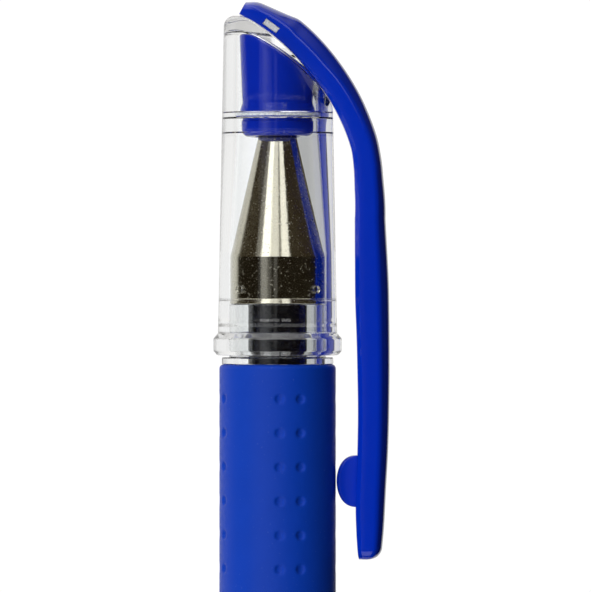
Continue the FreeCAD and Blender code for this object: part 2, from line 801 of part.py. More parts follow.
def make_clip_head():
    s = size
    back_angle = as_size(62.14)
    back_x, back_z = on_roof(s.roof_radius, back_angle)
    body = new_body("clip_head_block")
    front_x, front_z = on_roof(s.roof_radius, as_size(19.804))
    slab(
        body,
        "head_slab",
        [
            (front_x, front_z, s.roof_radius, -1),
            (back_x, back_z),
            (s.head_top_x, s.head_top_z),
            (s.head_flat_x, s.head_flat_z),
            (s.head_facet_x, s.head_facet_z, s.head_out_radius, 1),
            (s.clip_cut_out_x, front_z),
        ],
        s.clip_width,
    )
    dress(body, "Fillet", "head_crown", clip_edges(True), s.clip_crown)
    dress(body, "Chamfer", "head_bevel", clip_edges(False), s.clip_bevel)
    gap = s.latch_clear
    post = roof_box(
        "post_space", s.latch_length + gap * 2, s.latch_width + gap * 2, as_size(-1), s.latch_rise + gap
    )
    hook = roof_box(
        "hook_space", s.latch_length + gap * 2, s.clip_width + 1, s.hook_under - gap, s.latch_rise + gap
    )
    spaces = DOC.addObject("Part::MultiFuse", "latch_spaces")
    spaces.Shapes = [post, hook]
    head = DOC.addObject("Part::Cut", "clip_head")
    head.Label = "clip_head"
    head.Base = body
    head.Tool = spaces
    DOC.recompute()


def make_clip_arm():
    s = size
    body = new_body("clip_arm")
    top = s.clip_cut_z - s.clip_cut_gap
    slab(
        body,
        "arm_slab",
        [
            (s.clip_cut_in_x, top),
            (s.clip_cut_out_x, top, s.arm_bend_radius, 1),
            (s.arm_bend_x, s.arm_bend_z),
            (s.arm_mid_x, s.arm_mid_z, s.arm_long_radius, 1),
            (s.arm_mid_x - 0.03, s.arm_low_z),
            (s.arm_end_x, s.arm_end_z, s.arm_tip_radius, 1),
            (s.arm_tip_x, s.arm_tip_z),
            (s.arm_heel_x, s.arm_heel_z),
            (s.arm_in_low_x, s.arm_in_low_z),
            (s.arm_in_bump_x, s.arm_in_bump_z),
            (s.arm_in_mid_x, s.arm_in_mid_z),
            (s.arm_in_mid_x, s.arm_in_top_z, s.arm_in_radius, -1),
        ],
        s.clip_width,
    )
    dress(body, "Fillet", "arm_crown", clip_edges(True), s.clip_crown)
    dress(body, "Chamfer", "arm_bevel", clip_edges(False), s.clip_bevel)
    bump_radius = (
        (s.bump_half.value ** 2 + (s.arm_in_low_x.value + 0.1 - s.bump_apex_x.value) ** 2)
        / (2 * (s.arm_in_low_x.value + 0.1 - s.bump_apex_x.value))
    )
    slab(
        body,
        "bump",
        [
            (s.bump_root_x, s.bump_z - s.bump_half),
            (s.arm_in_low_x + 0.1, s.bump_z - s.bump_half, as_size(bump_radius), 1),
            (s.arm_in_low_x + 0.1, s.bump_z + s.bump_half),
            (s.bump_root_x, s.bump_z + s.bump_half),
        ],
        s.bump_width,
    )

    def bump_rim(edge):
        middle = middle_of(edge)
        on_side = abs(abs(middle.y) - s.bump_width.value / 2) < 1e-4
        return on_side and middle.x < s.arm_in_low_x.value - 0.8

    dress(body, "Fillet", "bump_rim", bump_rim, as_size(0.3))


def make_inner_cap():
    s = size
    outline = [
        (s.inner_mouth_rad, s.inner_low_z),
        (s.inner_flange_rad, s.inner_low_z),
        (s.inner_flange_rad, s.inner_flange_z),
        (s.inner_rad, s.inner_flange_z),
    ]
    outline += ridge(s.inner_rad, s.bead_rad - s.inner_rad, s.bead_z, s.bead_half)
    outline += [
        (s.inner_top_rad, s.inner_top_z),
        (NONE, s.inner_top_z),
        (NONE, s.seal_top_z + 0.02),
        (s.seal_rad + 0.02, s.seal_top_z + 0.02),
        (s.seal_rad + 0.02, s.inner_hole_z),
        (s.inner_hole_rad, s.inner_hole_z),
    ]
    body = turned("inner_cap", outline)
    low_ring = circle_at(s.inner_flange_rad, s.inner_low_z)
    dress(body, "Fillet", "inner_corner", low_ring, s.inner_round)
    ceiling_middle = (s.ceiling_centre_x, s.ceiling_centre_z)
    cut_side(body, "inner_slope", above_arc(ceiling_middle, s.ceiling_radius))
    turned(
        "tip_seal",
        [
            (NONE, s.seal_low_z),
            (s.seal_rad, s.seal_low_z),
            (s.seal_rad, s.seal_top_z),
            (NONE, s.seal_top_z),
        ],
    )


make_barrel()
make_grip()
make_tail_plug()
make_refill()
make_point()
make_nose_cone()
make_cap_shell()
make_clip_head()
make_clip_arm()
make_inner_cap()
DOC.recompute()

NODES = [
    "barrel", "grip_sleeve", "tail_plug", "refill_tube", "ink", "ink_follower", "tip_holder",
    "point", "ball", "ball_spring", "nose_cone", "cap_shell", "clip_head", "clip_arm",
    "inner_cap", "tip_seal",
]

for thing in DOC.Objects:
    state = " ".join(thing.State)
    if "Invalid" in state or "Error" in state:
        raise RuntimeError("%s is %s" % (thing.Label, state))

os.makedirs("parts", exist_ok=True)
for label in NODES:
    node = DOC.getObjectsByLabel(label)[0]
    shape = node.Shape
    if shape.isNull() or not shape.isValid() or not shape.Solids:
        raise RuntimeError("bad shape: " + label)
    print("%-14s solids %d volume %9.3f box %s" % (
        label, len(shape.Solids), shape.Volume,
        " ".join("%.2f" % v for v in (
            shape.BoundBox.XMin, shape.BoundBox.XMax, shape.BoundBox.YMin,
            shape.BoundBox.YMax, shape.BoundBox.ZMin, shape.BoundBox.ZMax))))
    shape.exportStep(os.path.join("parts", label + ".step"))
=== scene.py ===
import math

import bmesh
import bpy
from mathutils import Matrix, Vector


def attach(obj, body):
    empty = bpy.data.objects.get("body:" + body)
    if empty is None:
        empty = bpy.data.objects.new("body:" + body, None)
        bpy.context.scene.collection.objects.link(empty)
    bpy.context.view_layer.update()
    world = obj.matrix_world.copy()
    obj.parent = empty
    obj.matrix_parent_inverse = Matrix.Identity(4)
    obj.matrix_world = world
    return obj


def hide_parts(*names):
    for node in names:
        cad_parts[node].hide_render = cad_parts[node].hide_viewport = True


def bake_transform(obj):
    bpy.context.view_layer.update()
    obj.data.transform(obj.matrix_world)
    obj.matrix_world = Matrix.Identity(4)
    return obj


# Capped gel pen standing on its tail. Lengths in the tables below are millimetres in the
# CAD's frame: +Z from tail to cap, +X towards the clip. Blender's unit is the metre.

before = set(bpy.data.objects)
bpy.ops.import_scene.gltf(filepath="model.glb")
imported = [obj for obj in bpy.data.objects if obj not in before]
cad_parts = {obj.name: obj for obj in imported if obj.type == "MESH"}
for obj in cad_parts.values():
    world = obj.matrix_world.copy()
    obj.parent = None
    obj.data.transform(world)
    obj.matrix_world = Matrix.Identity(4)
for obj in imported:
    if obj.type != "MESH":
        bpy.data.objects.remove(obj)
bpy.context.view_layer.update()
MM = 0.001
SEGMENTS = 160


# ------------------------------------------------------------------------ small geometry


def lerp(a, b, t):
    return a + (b - a) * t


def smoothstep(low, high, value):
    t = min(1.0, max(0.0, (value - low) / (high - low)))
    return t * t * (3 - 2 * t)


def soft_min(a, b, blend):
    """The smaller of two heights with a round of about that size where they cross."""
    h = max(0.0, blend - abs(a - b)) / blend
    return min(a, b) - h * h * blend * 0.25


def interpolate(table, key):
    """Smooth (Hermite) interpolation in a list of (key, value) with rising keys."""
    if key <= table[0][0]:
        return table[0][1]
    if key >= table[-1][0]:
        return table[-1][1]
    i = max(n for n in range(len(table) - 1) if table[n][0] <= key)
    (x0, y0), (x1, y1) = table[i], table[i + 1]

    def slope(n):
        if n <= 0 or n >= len(table) - 1:
            m = min(max(n, 1), len(table) - 1)
            return (table[m][1] - table[m - 1][1]) / (table[m][0] - table[m - 1][0])
        left = (table[n][1] - table[n - 1][1]) / (table[n][0] - table[n - 1][0])
        right = (table[n + 1][1] - table[n][1]) / (table[n + 1][0] - table[n][0])
        if left * right <= 0:
            return 0.0
        return 2 * left * right / (left + right)

    span = x1 - x0
    t = (key - x0) / span
    m0, m1 = slope(i) * span, slope(i + 1) * span
    return (
        (2 * t ** 3 - 3 * t ** 2 + 1) * y0
        + (t ** 3 - 2 * t ** 2 + t) * m0
        + (3 * t ** 2 - 2 * t ** 3) * y1
        + (t ** 3 - t ** 2) * m1
    )


def rounded(corners, steps=5, closed=True):
    """Corner list (x, y) or (x, y, radius) with each stated corner turned into an arc."""
    out = []
    count = len(corners)
    for i, corner in enumerate(corners):
        here = Vector(corner[:2])
        radius = corner[2] if len(corner) > 2 else 0.0
        at_end = not closed and i in (0, count - 1)
        if radius <= 0 or at_end:
            out.append((here.x, here.y))
            continue
        before = Vector(corners[i - 1][:2]) - here
        after = Vector(corners[(i + 1) % count][:2]) - here
        angle = before.angle(after)
        reach = radius / math.tan(angle / 2)
        limit = 0.49 * min(before.length, after.length)
        if reach > limit:
            radius *= limit / reach
            reach = limit
        first = here + before.normalized() * reach
        last = here + after.normalized() * reach
        middle = (before.normalized() + after.normalized()).normalized()
        centre = here + middle * math.hypot(radius, reach)
        a0 = math.atan2(first.y - centre.y, first.x - centre.x)
        a1 = math.atan2(last.y - centre.y, last.x - centre.x)
        turn = (a1 - a0 + math.pi) % (2 * math.pi) - math.pi
        for k in range(steps + 1):
            a = a0 + turn * k / steps
            out.append((centre.x + radius * math.cos(a), centre.y + radius * math.sin(a)))
    return out


def circle_ring(radius, z, segments=SEGMENTS):
    """One ring of points; radius and z may be functions of the angle."""
    ring = []
    for n in range(segments):
        angle = 2 * math.pi * n / segments
        r = radius(angle) if callable(radius) else radius
        height = z(angle, r) if callable(z) else z
        ring.append((r * math.cos(angle), r * math.sin(angle), height))
    return ring


def bridge(rings, closed_loop=False, cap_first=False, cap_last=False):
    """Vertices and faces of a skin over rings with equal point counts."""
    verts = [p for ring in rings for p in ring]
    size = len(rings[0])
    faces = []
    pairs = len(rings) if closed_loop else len(rings) - 1
    for i in range(pairs):
        a, b = i * size, ((i + 1) % len(rings)) * size
        for n in range(size):
            m = (n + 1) % size
            faces.append((a + n, a + m, b + m, b + n))
    if cap_first:
        faces.append(tuple(range(size - 1, -1, -1)))
    if cap_last:
        start = (len(rings) - 1) * size
        faces.append(tuple(range(start, start + size)))
    return verts, faces


def braced(profile, closed=True):
    """Adds two points to each long straight run, near its ends, so it shades flat."""
    near, long_run = 0.03, 0.25
    out = []
    for i, here in enumerate(profile):
        out.append(here)
        if not closed and i == len(profile) - 1:
            break
        there = profile[(i + 1) % len(profile)]
        length = math.hypot(there[0] - here[0], there[1] - here[1])
        if length > long_run:
            for t in (near / length, 1 - near / length):
                out.append((lerp(here[0], there[0], t), lerp(here[1], there[1], t)))
    return out


def turned(profile, closed_loop=False, segments=SEGMENTS):
    """Skin of revolution. An open profile starts and ends on the axis, with r = 0."""
    if closed_loop:
        profile = braced(profile)
        return bridge([circle_ring(r, z, segments) for r, z in profile], closed_loop=True)
    first, last = profile[0], profile[-1]
    verts, faces = bridge([circle_ring(r, z, segments) for r, z in profile[1:-1]])
    size = segments
    low, high = len(verts), len(verts) + 1
    verts += [(0.0, 0.0, first[1]), (0.0, 0.0, last[1])]
    top = (len(profile) - 3) * size
    for n in range(size):
        m = (n + 1) % size
        faces.append((low, m, n))
        faces.append((high, top + n, top + m))
    return verts, faces


def new_object(name, skin):
    """Object from a skin in millimetres, linked into the scene."""
    verts, faces = skin
    mesh = bpy.data.meshes.new(name)
    mesh.from_pydata([(x * MM, y * MM, z * MM) for x, y, z in verts], [], faces)
    made = bpy.data.objects.new(name, mesh)
    bpy.context.collection.objects.link(made)
    return made


def make_piece(name, skin, material, body, sharp=32.0, stands_for=()):
    """A piece that rides on a body; sharp is the edge angle in degrees above which it creases."""
    piece = new_object(name, skin)
    piece.data.validate()
    tidy_normals(piece.data, sharp)
    piece.data.materials.append(material)
    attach(piece, body)
    if stands_for:
        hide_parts(*stands_for)
    return piece


def tidy_normals(mesh, sharp):
    """Faces all outwards, smooth but for edges sharper than the angle in degrees."""
    work = bmesh.new()
    work.from_mesh(mesh)
    bmesh.ops.recalc_face_normals(work, faces=work.faces)
    work.to_mesh(mesh)
    work.free()
    mesh.shade_smooth()
    mesh.set_sharp_from_angle(angle=math.radians(sharp))


# ----------------------------------------------------------------------------- materials


class Shader:
    """A Principled material with short calls for the nodes used here."""

    def __init__(self, name, **inputs):
        self.material = bpy.data.materials.new(name)
        self.material.use_nodes = True
        self.tree = self.material.node_tree
        self.tree.nodes.clear()
        self.output = self.node("ShaderNodeOutputMaterial")
        self.surface = self.node("ShaderNodeBsdfPrincipled")
        self.link(self.surface.outputs[0], self.output.inputs["Surface"])
        for key, value in inputs.items():
            self.surface.inputs[key.replace("_", " ")].default_value = value
        self.place = self.node("ShaderNodeTexCoord").outputs["Object"]

    def node(self, kind, **settings):
        made = self.tree.nodes.new(kind)
        for key, value in settings.items():
            setattr(made, key, value)
        return made

    def link(self, source, target):
        self.tree.links.new(source, target)

    def stretched(self, scale):
        mapping = self.node("ShaderNodeMapping")
        mapping.inputs["Scale"].default_value = scale
        self.link(self.place, mapping.inputs["Vector"])
        return mapping.outputs[0]

    def noise(self, size_mm, detail=3.0, stretch=(1, 1, 1), roughness=0.55):
        """Noise whose blotches are about size_mm across."""
        texture = self.node("ShaderNodeTexNoise")
        texture.inputs["Scale"].default_value = 1.0 / (size_mm * MM)
        texture.inputs["Detail"].default_value = detail
        texture.inputs["Roughness"].default_value = roughness
        self.link(self.stretched(stretch), texture.inputs["Vector"])
        return texture.outputs["Fac"]

    def remap(self, value, from_low, from_high, to_low, to_high):
        node = self.node("ShaderNodeMapRange")
        node.inputs["From Min"].default_value = from_low
        node.inputs["From Max"].default_value = from_high
        node.inputs["To Min"].default_value = to_low
        node.inputs["To Max"].default_value = to_high
        self.link(value, node.inputs["Value"])
        return node.outputs[0]

    def mix(self, factor, first, second):
        node = self.node("ShaderNodeMix", data_type="RGBA")
        self.link(factor, node.inputs["Factor"])
        for socket, colour in ((node.inputs["A"], first), (node.inputs["B"], second)):
            if isinstance(colour, tuple):
                socket.default_value = colour
            else:
                self.link(colour, socket)
        return node.outputs["Result"]

    def colour(self, value):
        self.link(value, self.surface.inputs["Base Color"])

    def roughness(self, value, low, high):
        self.link(self.remap(value, 0.25, 0.75, low, high), self.surface.inputs["Roughness"])

    def bumps(self, *layers):
        """Layers of (height, depth in mm), stacked into the shader's normal."""
        normal = None
        for height, depth in layers:
            bump = self.node("ShaderNodeBump")
            bump.inputs["Strength"].default_value = 1.0
            bump.inputs["Distance"].default_value = depth * MM
            self.link(height, bump.inputs["Height"])
            if normal is not None:
                self.link(normal, bump.inputs["Normal"])
            normal = bump.outputs["Normal"]
        self.link(normal, self.surface.inputs["Normal"])

    def let_lamps_through(self, tint=(0.92, 0.93, 0.93, 1)):
        """Lamp and soft-bounce rays pass straight through, so what is inside gets light."""
        paths = self.node("ShaderNodeLightPath")
        either = self.node("ShaderNodeMath", operation="MAXIMUM")
        self.link(paths.outputs["Is Shadow Ray"], either.inputs[0])
        self.link(paths.outputs["Is Diffuse Ray"], either.inputs[1])
        clear = self.node("ShaderNodeBsdfTransparent")
        clear.inputs["Color"].default_value = tint
        mix = self.node("ShaderNodeMixShader")
        self.link(either.outputs[0], mix.inputs[0])
        self.link(self.surface.outputs[0], mix.inputs[1])
        self.link(clear.outputs[0], mix.inputs[2])
        self.link(mix.outputs[0], self.output.inputs["Surface"])


def clear_plastic():
    s = Shader(
        "clear_plastic", Transmission_Weight=1.0, IOR=1.5, Base_Color=(0.975, 0.985, 0.985, 1)
    )
    s.roughness(s.noise(1.6, detail=4), 0.0, 0.018)
    s.bumps((s.noise(2.2, detail=1, stretch=(1, 1, 0.35)), 0.0012))
    s.let_lamps_through()
    return s.material


def tube_plastic():
    s = Shader(
        "refill_tube_plastic", Transmission_Weight=1.0, IOR=1.5, Base_Color=(0.9, 0.93, 0.94, 1)
    )
    s.roughness(s.noise(1.2, detail=4), 0.02, 0.08)
    s.bumps((s.noise(1.0, detail=1, stretch=(1, 1, 0.1)), 0.001))
    s.let_lamps_through((0.93, 0.95, 0.96, 1))
    return s.material


def frosted_and_highlight_plastic():
    """Whitish clear plastic: scuffed on the latch hooks, and a painted highlight on the ring at
    the inner cap's flange.
    """
    s = Shader(
        "latch_clear", Transmission_Weight=0.3, IOR=1.5, Base_Color=(0.93, 0.95, 0.98, 1)
    )
    s.roughness(s.noise(0.3, detail=4), 0.15, 0.4)
    s.bumps((s.noise(0.25, detail=3), 0.01))
    s.let_lamps_through()
    return s.material


def blue_plastic(name, low, high, specular, smooth, dull):
    """Gloss runs from roughness smooth to dull; specular is uniform."""
    s = Shader(name, IOR=1.5, Specular_IOR_Level=specular)
    s.colour(s.mix(s.noise(6.0, detail=2), low, high))
    s.roughness(s.noise(0.7, detail=5), smooth, dull)
    s.bumps((s.noise(0.9, detail=2), 0.0012), (s.noise(0.06, detail=2), 0.0003))
    return s.material


def grip_rubber():
    s = Shader("grip_rubber", IOR=1.45, Specular_IOR_Level=0.14)
    cloud = s.noise(2.5, detail=4)
    dust = s.remap(s.noise(0.16, detail=1), 0.74, 0.80, 0.0, 0.35)
    body = s.mix(cloud, (0.003, 0.045, 0.43, 1), (0.004, 0.052, 0.49, 1))
    s.colour(s.mix(dust, body, (0.16, 0.23, 0.60, 1)))
    s.roughness(s.noise(0.5, detail=5), 0.34, 0.52)
    s.bumps((s.noise(0.11, detail=4), 0.006), (s.noise(1.4, detail=2), 0.01))
    return s.material


def plated_metal():
    """Nickel plate over turned brass: faint turning rings, a slight mottle and dull specks."""
    s = Shader("plated_metal", Metallic=1.0)
    s.colour(s.mix(s.noise(1.1, detail=5), (0.57, 0.545, 0.45, 1), (0.65, 0.62, 0.52, 1)))
    specks = s.remap(s.noise(0.2, detail=2), 0.62, 0.70, 0.0, 1.0)
    s.roughness(specks, 0.05, 0.42)
    s.bumps(
        (s.noise(1.0, detail=3, stretch=(0.5, 0.5, 22)), 0.0004),
        (s.noise(0.3, detail=4, roughness=0.8), 0.006),
        (s.noise(0.13, detail=2), 0.0015),
    )
    return s.material


def steel():
    s = Shader("turned_steel", Metallic=1.0)
    s.colour(s.mix(s.noise(0.4, detail=3), (0.50, 0.50, 0.50, 1), (0.62, 0.62, 0.61, 1)))
    s.roughness(s.noise(0.1, detail=3), 0.15, 0.3)
    s.bumps((s.noise(1.0, detail=2, stretch=(0.5, 0.5, 30)), 0.0005))
    return s.material


def carbide():
    s = Shader("carbide", Metallic=1.0)
    s.colour(s.mix(s.noise(0.1, detail=2), (0.30, 0.30, 0.31, 1), (0.38, 0.38, 0.39, 1)))
    s.roughness(s.noise(0.05, detail=2), 0.06, 0.14)
    return s.material


def ink_gel():
    s = Shader("gel_ink", IOR=1.45, Specular_IOR_Level=0.3)
    s.colour(s.mix(s.noise(1.5, detail=4), (0.003, 0.004, 0.012, 1), (0.006, 0.008, 0.022, 1)))
    s.roughness(s.noise(1.0, detail=3), 0.15, 0.35)
    s.bumps((s.noise(0.8, detail=3), 0.01))
    return s.material


def grease():
    s = Shader(
        "follower_grease", Transmission_Weight=0.85, IOR=1.46, Base_Color=(0.86, 0.84, 0.72, 1)
    )
    s.roughness(s.noise(0.6, detail=4), 0.05, 0.25)
    s.bumps((s.noise(0.8, detail=3), 0.02))
    s.let_lamps_through((0.9, 0.88, 0.8, 1))
    return s.material


def natural_plastic():
    s = Shader("natural_plastic", IOR=1.5, Subsurface_Weight=0.15)
    s.surface.inputs["Subsurface Radius"].default_value = (0.001, 0.001, 0.001)
    s.colour(s.mix(s.noise(1.0, detail=4), (0.72, 0.72, 0.69, 1), (0.80, 0.80, 0.77, 1)))
    s.roughness(s.noise(0.4, detail=4), 0.3, 0.5)
    s.bumps((s.noise(0.2, detail=3), 0.002))
    return s.material


def seal_pad():
    s = Shader("seal_pad", IOR=1.45)
    s.colour(s.mix(s.noise(0.4, detail=4), (0.03, 0.03, 0.03, 1), (0.06, 0.06, 0.06, 1)))
    s.roughness(s.noise(0.3, detail=4), 0.5, 0.75)
    s.bumps((s.noise(0.1, detail=4), 0.004))
    return s.material


def floor_paint():
    s = Shader("floor_paint", IOR=1.4, Specular_IOR_Level=0.2)
    s.colour(s.mix(s.noise(180.0, detail=3), (0.90, 0.90, 0.90, 1), (0.93, 0.93, 0.93, 1)))
    s.roughness(s.noise(20.0, detail=4), 0.55, 0.7)
    return s.material


CLEAR = clear_plastic()
TUBE = tube_plastic()
FROST_AND_PAINTED_HIGHLIGHT = frosted_and_highlight_plastic()
BLUE = blue_plastic(
    "blue_plastic", (0.0008, 0.027, 0.49, 1), (0.0012, 0.031, 0.54, 1), 0.45, 0.04, 0.10
)
BLUE_INNER = blue_plastic(
    "blue_inner", (0.0010, 0.021, 0.44, 1), (0.0018, 0.026, 0.50, 1), 0.26, 0.06, 0.11
)
RUBBER = grip_rubber()
PLATED = plated_metal()
STEEL = steel()
CARBIDE = carbide()
INK = ink_gel()
GREASE = grease()
NATURAL = natural_plastic()
PAD = seal_pad()


# --------------------------------------------------------------------------- barrel side

NECK_TOP = 120.95
GRIP_LOW, GRIP_HIGH = 74.8, 114.74


def make_barrel():
    """Clear tube: rear body, grip seat, flange, neck with its snap ridge, ringed spigot."""
    profile = [
        (3.9, 9.0, 0.15), (5.0, 9.0, 0.35), (5.4, 74.76, 0.15), (4.65, 74.76), (4.65, 114.76),
        (5.31, 114.76, 0.06), (5.31, 115.4, 0.12), (4.6, 115.4, 0.1),
        (4.6, 118.35), (4.63, 118.6, 0.2), (4.63, 118.8, 0.2), (4.6, 119.05),
        (4.6, 120.42, 0.08), (4.2, 120.42), (4.2, NECK_TOP, 0.05), (3.65, NECK_TOP),
    ]
    first_ring, pitch = 121.8, 0.8
    for n in range(3):
        z = first_ring + pitch * n
        profile += [
            (3.65, z - 0.24), (3.95, z - 0.1, 0.06), (3.95, z + 0.1, 0.06), (3.65, z + 0.24),
        ]
    profile += [
        (3.65, 124.6, 0.15), (3.1, 124.6, 0.1), (3.1, 120.75, 0.1), (3.76, 120.45, 0.2),
    ]
    skin = turned(rounded(profile, 7), closed_loop=True)
    return make_piece("barrel_moulding", skin, CLEAR, "pen_barrel",
                      stands_for=["barrel"])


def dimple_depth(distance):
    """Depth of one dimple in mm at a distance in mm from its middle."""
    radius, depth = 0.56, 0.21
    if distance >= radius * 1.25:
        return 0.0
    bowl = depth * (1 - (distance / radius) ** 2)
    rim = depth * 0.09 * (1 - smoothstep(radius * 0.85, radius * 1.25, distance))
    return max(bowl, 0.0) * smoothstep(0, 0.25, radius - distance) + rim


# Pairs of dimple columns, one pair to each quarter turn, and the heights of their rows.
PAIR_TURN, HALF_PAIR = 12.8, 10.7
DIMPLE_ANGLES = [
    math.radians(PAIR_TURN + 90 * pair + HALF_PAIR * side)
    for pair in range(4) for side in (-1, 1)
]
TOP_ROW, ROW_PITCH = 111.5, 3.216
DIMPLE_HEIGHTS = [TOP_ROW - ROW_PITCH * row for row in range(11)]
DIMPLE_REACH = 0.75


def stops(middles, reach, fine, coarse, low, high):
    """Sorted sampling positions: fine steps near the middles, coarse ones elsewhere."""
    marks = {round(low, 6), round(high, 6)}
    steps = int(round(reach / fine))
    for middle in middles:
        for k in range(-steps, steps + 1):
            marks.add(round(middle + k * fine, 6))
    count = int((high - low) / coarse)
    for k in range(count + 1):
        at = low + (high - low) * k / count
        if min(abs(at - middle) for middle in middles) > reach + coarse * 0.4:
            marks.add(round(at, 6))
    ordered = sorted(m for m in marks if low - 1e-6 <= m <= high + 1e-6)
    return [m for i, m in enumerate(ordered) if i == 0 or m - ordered[i - 1] > fine * 0.3]


def make_grip():
    """Rubber sleeve, meshed finely at the dimples and coarsely between them."""
    radius, bore = 5.54, 4.67
    fine, fine_reach = 0.075, 0.72
    seam = -0.4
    angles = stops(
        DIMPLE_ANGLES, fine_reach / radius, fine / radius, math.radians(2.2),
        seam, 2 * math.pi + seam,
    )
    angles = angles[:-1]
    heights = stops(DIMPLE_HEIGHTS, fine_reach, fine, 0.5, GRIP_LOW + 0.5, GRIP_HIGH - 0.5)
    corner = rounded(
        [(bore, GRIP_HIGH), (radius, GRIP_HIGH, 0.42), (radius, GRIP_HIGH - 1)], 6, closed=False
    )
    foot = rounded(
        [(radius, GRIP_LOW + 1), (radius, GRIP_LOW, 0.35), (bore, GRIP_LOW)], 6, closed=False
    )
    top_part = [p for p in corner if p[1] > GRIP_HIGH - 0.45]
    low_part = [p for p in foot if p[1] < GRIP_LOW + 0.45]
    rows = low_part[::-1] + [(radius, z) for z in heights] + top_part[::-1]
    rings = []
    for r, z in rows:
        near_row = min(abs(z - h) for h in DIMPLE_HEIGHTS) < DIMPLE_REACH
        ring = []
        for a in angles:
            here = r
            if near_row:
                here -= dimple_at(a, z, radius)
            ring.append((here * math.cos(a), here * math.sin(a), z))
        rings.append(ring)
    skin = bridge(rings, closed_loop=True)
    return make_piece("grip_rubber_sleeve", skin, RUBBER, "pen_barrel",
                      sharp=50, stands_for=["grip_sleeve"])


def dimple_at(angle, z, radius):
    """How far the dimples sink the grip's surface at an angle and a height."""
    depth = 0.0
    for row in DIMPLE_HEIGHTS:
        if abs(z - row) > DIMPLE_REACH:
            continue
        for middle in DIMPLE_ANGLES:
            turn = (angle - middle + math.pi) % (2 * math.pi) - math.pi
            across = turn * radius
            if abs(across) < DIMPLE_REACH:
                depth = max(depth, dimple_depth(math.hypot(across, z - row)))
    return depth


def make_tail_plug():
    profile = [
        (0.5, 0.25, 0.1), (0.75, 0.0, 0.1), (4.55, 0.0, 0.45), (4.55, 8.96, 0.08),
        (3.86, 8.96), (3.86, 16.5, 0.25), (2.9, 16.5, 0.15), (2.9, 14.3), (2.0, 14.3, 0.1),
        (2.0, 1.2), (0.5, 1.2, 0.1),
    ]
    return make_piece("tail_plug_moulding", turned(rounded(profile), closed_loop=True), BLUE,
                      "pen_barrel", stands_for=["tail_plug"])


def make_refill():
    """Tube, ink column and the plug of grease behind the ink."""
    tube = rounded([
        (2.15, 14.5, 0.08), (2.8, 14.5, 0.08), (2.8, 125.6, 0.08), (2.15, 125.6, 0.08),
    ])
    make_piece("refill_tube_wall", turned(tube, closed_loop=True), TUBE, "pen_barrel",
               stands_for=["refill_tube"])
    column = [
        (0.0, 33.35), (1.2, 33.25), (1.9, 33.05), (2.154, 32.98), (2.154, 121.45), (0.0, 121.5),
    ]
    make_piece("ink_column", turned(column), INK, "pen_barrel", sharp=60,
               stands_for=["ink"])
    plug = [
        (0.0, 28.55), (1.2, 28.4), (1.9, 28.05), (2.13, 28.0),
        (2.13, 32.95), (1.9, 33.02), (1.2, 33.2), (0.0, 33.3),
    ]
    make_piece("grease_plug", turned(plug), GREASE, "pen_barrel", sharp=60,
               stands_for=["ink_follower"])


def make_nose_cone():
    profile = rounded([
        (4.22, 120.97), (4.22, 120.48), (4.58, 120.48, 0.04), (4.58, 120.56, 0.04),
        (4.47, 120.97), (4.5, 121.0), (4.5, 124.95, 0.03), (1.84, 136.4, 2.0),
        (1.35, 138.88, 0.25), (1.2, 138.88, 0.05), (1.2, 135.6), (3.15, 127.6), (3.15, 124.9),
        (4.0, 124.9),
    ])
    return make_piece("nose_cone_shell", turned(profile, closed_loop=True), PLATED, "nose",
                      sharp=20, stands_for=["nose_cone"])


def make_point():
    profile = rounded([
        (0.45, 130.0, 0.03), (1.15, 130.0, 0.1), (1.15, 139.1, 0.15), (0.42, 141.1, 0.03),
        (0.34, 141.12, 0.01), (0.37, 140.98), (0.37, 140.65), (0.2, 140.6), (0.2, 140.07),
        (0.45, 139.93),
    ], 3)
    return make_piece("writing_point", turned(profile, closed_loop=True, segments=96), STEEL,
                      "pen_barrel", stands_for=["point"])


# ------------------------------------------------------------------------------ cap side

# The roof and the ceiling under it are arcs seen from the side: middle x, middle z, radius.
ROOF_X, ROOF_Z, ROOF_RADIUS = -13.93, 128.55, 22.0
CEILING_X, CEILING_Z, CEILING_RADIUS = -12.31, 128.11, 20.67
INNER_GAP = 0.06
ROOF_HIGH = 147.9
INNER_HIGH = 146.36


def arc_height(x, middle_x, middle_z, radius):
    """Height of an arc's upper half at x."""
    return middle_z + math.sqrt(max(0.0, radius ** 2 - (x - middle_x) ** 2))


def roofed_rings(wall, start_z, start_r, height, corner, wall_steps=26, roof_steps=26):
    """Rings up a wall that ends under a sloping roof, then inwards over the roof.

    wall(z) gives the wall's radius, height(x) the roof, corner(x) the round between.
    """
    def edge(angle):
        r = start_r
        for _ in range(4):
            x = r * math.cos(angle)
            top = height(x) - corner(x)
            r = wall(top)
        return r, top

    turns = [2 * math.pi * n / SEGMENTS for n in range(SEGMENTS)]
    edges = [(angle, *edge(angle)) for angle in turns]
    rings = []
    for step in range(wall_steps + 1):
        t = step / wall_steps
        ring = []
        for angle, _, z_top in edges:
            z = lerp(start_z, z_top, t)
            r = wall(z)
            ring.append((r * math.cos(angle), r * math.sin(angle), z))
        rings.append(ring)
    corner_steps = 6
    for step in range(1, corner_steps + 1):
        phi = math.pi / 2 * step / corner_steps
        ring = []
        for angle, r_top, _ in edges:
            x = r_top * math.cos(angle)
            f = corner(x)
            r = r_top - f * (1 - math.cos(phi))
            z = height(r * math.cos(angle)) - f * (1 - math.sin(phi))
            ring.append((r * math.cos(angle), r * math.sin(angle), z))
        rings.append(ring)
    for step in range(1, roof_steps):
        t = 1 - step / roof_steps
        ring = []
        for angle, r_top, _ in edges:
            r = (r_top - corner(r_top * math.cos(angle))) * t
            x = r * math.cos(angle)
            ring.append((x, r * math.sin(angle), height(x)))
        rings.append(ring)
    return rings


def shell_outer_radius(z):
    """The shell tapers evenly from the collar to the roof."""
    low_radius, low_z = 5.67, 117.8
    high_radius, high_z = 5.12, 147.2
    return low_radius + (high_radius - low_radius) * (z - low_z) / (high_z - low_z)


